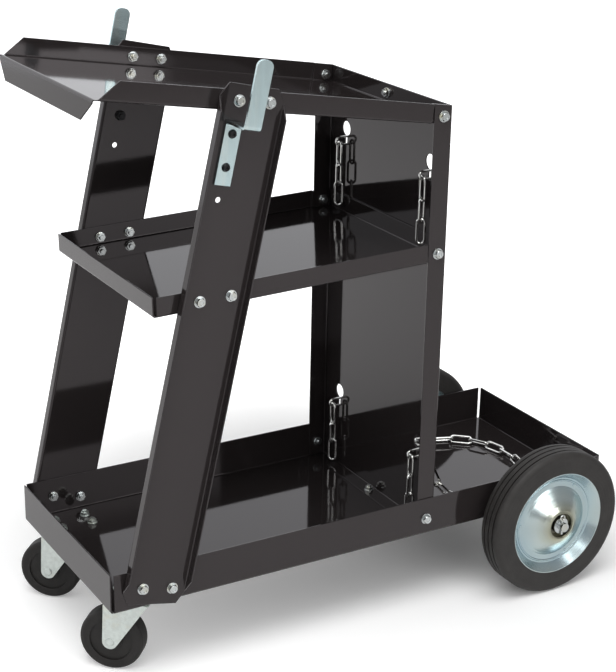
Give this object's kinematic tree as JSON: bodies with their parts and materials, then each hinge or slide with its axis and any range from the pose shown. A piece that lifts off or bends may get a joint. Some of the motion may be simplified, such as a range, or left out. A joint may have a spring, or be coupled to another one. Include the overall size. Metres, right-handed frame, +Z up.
{
  "type": "welding cart",
  "caption": "Three-shelf sheet-steel welding cart with sloping top shelf, leaning legs with cable hooks, keyhole back panel with chains, bottle tray, swivel casters and large rear wheels.",
  "frame": {"origin": "on the ground, under the middle of the cart's length and width", "axes": "+X from the casters to the bottle tray, +Y from the near to the far side, +Z up"},
  "size_m": [0.7328, 0.4072, 0.7512],
  "materials": {
    "black_paint": "glossy powder coat",
    "zinc": "bright zinc plating",
    "rim_zinc": "bright zinc plating with a blue tint",
    "chain_steel": "bright zinc plating",
    "black_screw": "black oxide with a bright nut",
    "rubber": "matt rubber"
  },
  "bodies": {
    "cart": {"bottom_tray": "black_paint", "middle_shelf": "black_paint", "top_shelf": "black_paint", "back_panel": "black_paint", "axle": "zinc", "lip_bolt": "zinc", "foot_bolt": "zinc", "leg_near": "black_paint", "hook_near": "zinc", "hook_screw_upper_near": "black_screw", "hook_screw_lower_near": "black_screw", "saddle_near": "black_paint", "washer_near": "zinc", "cotter_near": "zinc", "caster_plate_near": "zinc", "caster_bolts_near": "zinc", "leg_far": "black_paint", "hook_far": "zinc", "hook_screw_upper_far": "black_screw", "hook_screw_lower_far": "black_screw", "saddle_far": "black_paint", "washer_far": "zinc", "cotter_far": "zinc", "caster_plate_far": "zinc", "caster_bolts_far": "zinc", "leg_bolt_1_near": "zinc", "leg_bolt_2_near": "zinc", "leg_bolt_3_near": "zinc", "leg_bolt_4_near": "zinc", "leg_bolt_5_near": "zinc", "leg_bolt_6_near": "zinc", "leg_bolt_1_far": "zinc", "leg_bolt_2_far": "zinc", "leg_bolt_3_far": "zinc", "leg_bolt_4_far": "zinc", "leg_bolt_5_far": "zinc", "leg_bolt_6_far": "zinc", "panel_bolt_1_near": "zinc", "panel_bolt_2_near": "zinc", "panel_bolt_3_near": "zinc", "panel_bolt_1_far": "zinc", "panel_bolt_2_far": "zinc", "panel_bolt_3_far": "zinc", "chain_upper": "chain_steel", "chain_lower": "chain_steel"},
    "wheel_near": {"tyre_near": "rubber", "rim_near": "rim_zinc"},
    "swivel_near": {"caster_fork_near": "zinc", "caster_axle_near": "zinc"},
    "roller_near": {"caster_wheel_near": "rubber"},
    "upper_end_near": {"tail_upper_near": "chain_steel"},
    "lower_end_near": {"tail_lower_near": "chain_steel"},
    "wheel_far": {"tyre_far": "rubber", "rim_far": "rim_zinc"},
    "swivel_far": {"caster_fork_far": "zinc", "caster_axle_far": "zinc"},
    "roller_far": {"caster_wheel_far": "rubber"},
    "upper_end_far": {"tail_upper_far": "chain_steel"},
    "lower_end_far": {"tail_lower_far": "chain_steel"}
  },
  "joints": [
    {"name": "rear_wheel_near", "type": "hinge", "parent": "cart", "child": "wheel_near", "pos_m": [0.26043, -0.17, 0.1], "axis": [0, 1, 0], "continuous": true},
    {"name": "caster_swivel_near", "type": "hinge", "parent": "cart", "child": "swivel_near", "pos_m": [-0.30557, -0.1, 0.095], "axis": [0, 0, 1], "continuous": true},
    {"name": "caster_roll_near", "type": "hinge", "parent": "swivel_near", "child": "roller_near", "pos_m": [-0.32935, -0.07859, 0.04], "axis": [0.6691, 0.7431, 0], "continuous": true},
    {"name": "chain_end_upper_near", "type": "hinge", "parent": "cart", "child": "upper_end_near", "pos_m": [0.08318, -0.098, 0.56779], "axis": [1, 0, 0], "range_deg": [-14, 14]},
    {"name": "chain_end_lower_near", "type": "hinge", "parent": "cart", "child": "lower_end_near", "pos_m": [0.08318, -0.098, 0.19635], "axis": [1, 0, 0], "range_deg": [-14, 14]},
    {"name": "rear_wheel_far", "type": "hinge", "parent": "cart", "child": "wheel_far", "pos_m": [0.26043, 0.17, 0.1], "axis": [0, 1, 0], "continuous": true},
    {"name": "caster_swivel_far", "type": "hinge", "parent": "cart", "child": "swivel_far", "pos_m": [-0.30557, 0.1, 0.095], "axis": [0, 0, 1], "continuous": true},
    {"name": "caster_roll_far", "type": "hinge", "parent": "swivel_far", "child": "roller_far", "pos_m": [-0.32935, 0.12141, 0.04], "axis": [0.6691, 0.7431, 0], "continuous": true},
    {"name": "chain_end_upper_far", "type": "hinge", "parent": "cart", "child": "upper_end_far", "pos_m": [0.08318, 0.098, 0.56779], "axis": [1, 0, 0], "range_deg": [-14, 14]},
    {"name": "chain_end_lower_far", "type": "hinge", "parent": "cart", "child": "lower_end_far", "pos_m": [0.08318, 0.098, 0.19635], "axis": [1, 0, 0], "range_deg": [-14, 14]}
  ]
}
